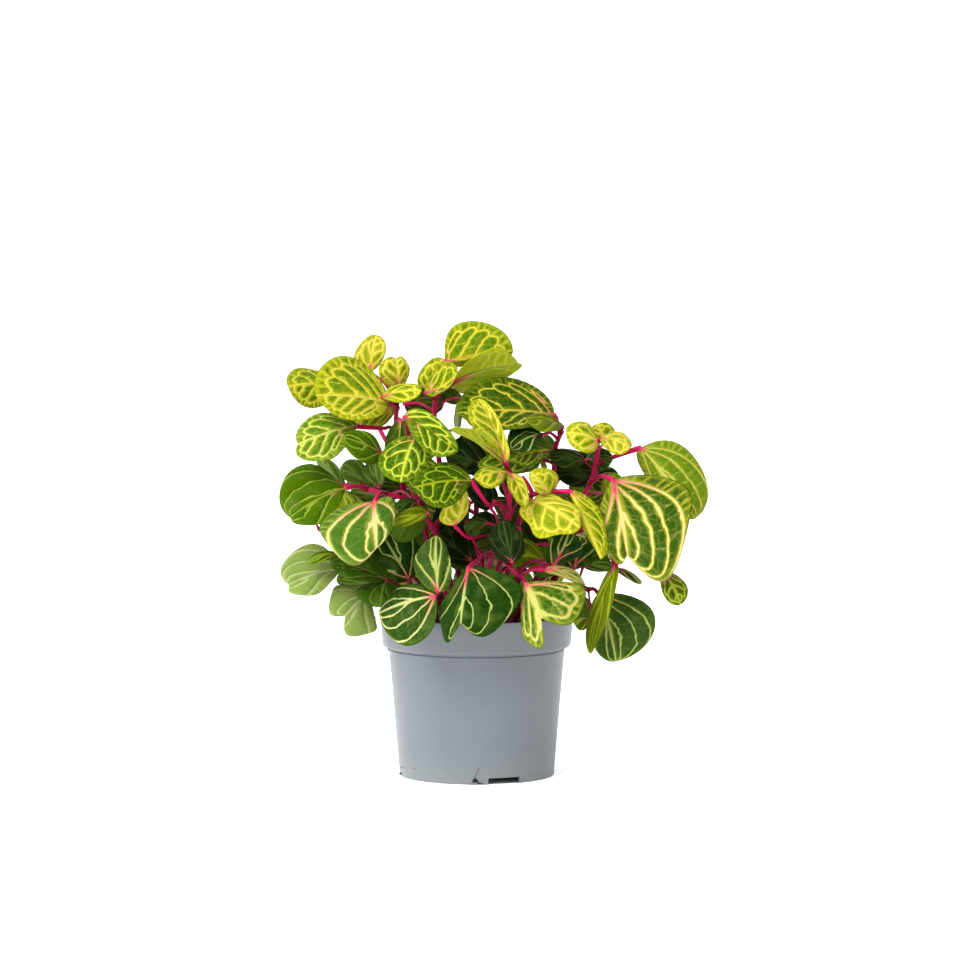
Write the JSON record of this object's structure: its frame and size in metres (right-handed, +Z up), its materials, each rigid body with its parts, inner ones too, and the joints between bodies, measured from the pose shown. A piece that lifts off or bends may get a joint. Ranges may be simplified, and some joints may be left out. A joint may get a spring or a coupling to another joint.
{
  "type": "potted bloodleaf",
  "caption": "Potted bloodleaf plant: leafy stems with rounded, yellow-veined leaves on crimson stalks, rising from soil in a grey plastic nursery pot.",
  "frame": {"origin": "centre of the pot's flat bottom, on the surface it stands on", "axes": "+Z up along the pot's axis, -Y towards the shown side of the plant, +X to that side's right"},
  "size_m": [0.259, 0.2265, 0.2809],
  "materials": {
    "pot_plastic": "satin moulded plastic, blue-grey",
    "soil": "dark peat potting mix, matt and crumbly",
    "foliage": "living leaves, green with yellow to cream veins, soft sheen, on crimson stalks"
  },
  "bodies": {
    "root": {"leafy_stem_centre": "foliage", "leafy_stem_far_left": "foliage", "leafy_stem_far_low_left": "foliage", "leafy_stem_far_low_right": "foliage", "leafy_stem_far_middle": "foliage", "leafy_stem_far_right": "foliage", "leafy_stem_far_top": "foliage", "leafy_stem_far_upper_left": "foliage", "leafy_stem_far_upper_right": "foliage", "leafy_stem_left": "foliage", "leafy_stem_left_front": "foliage", "leafy_stem_low_front": "foliage", "leafy_stem_low_middle": "foliage", "leafy_stem_low_right": "foliage", "leafy_stem_lower_left": "foliage", "leafy_stem_right": "foliage", "leafy_stem_right_front": "foliage", "leafy_stem_side_left": "foliage", "leafy_stem_side_right": "foliage", "leafy_stem_top": "foliage", "leafy_stem_upper_left": "foliage", "leafy_stem_upper_right": "foliage", "pot": "pot_plastic", "soil": "soil"}
  },
  "joints": []
}
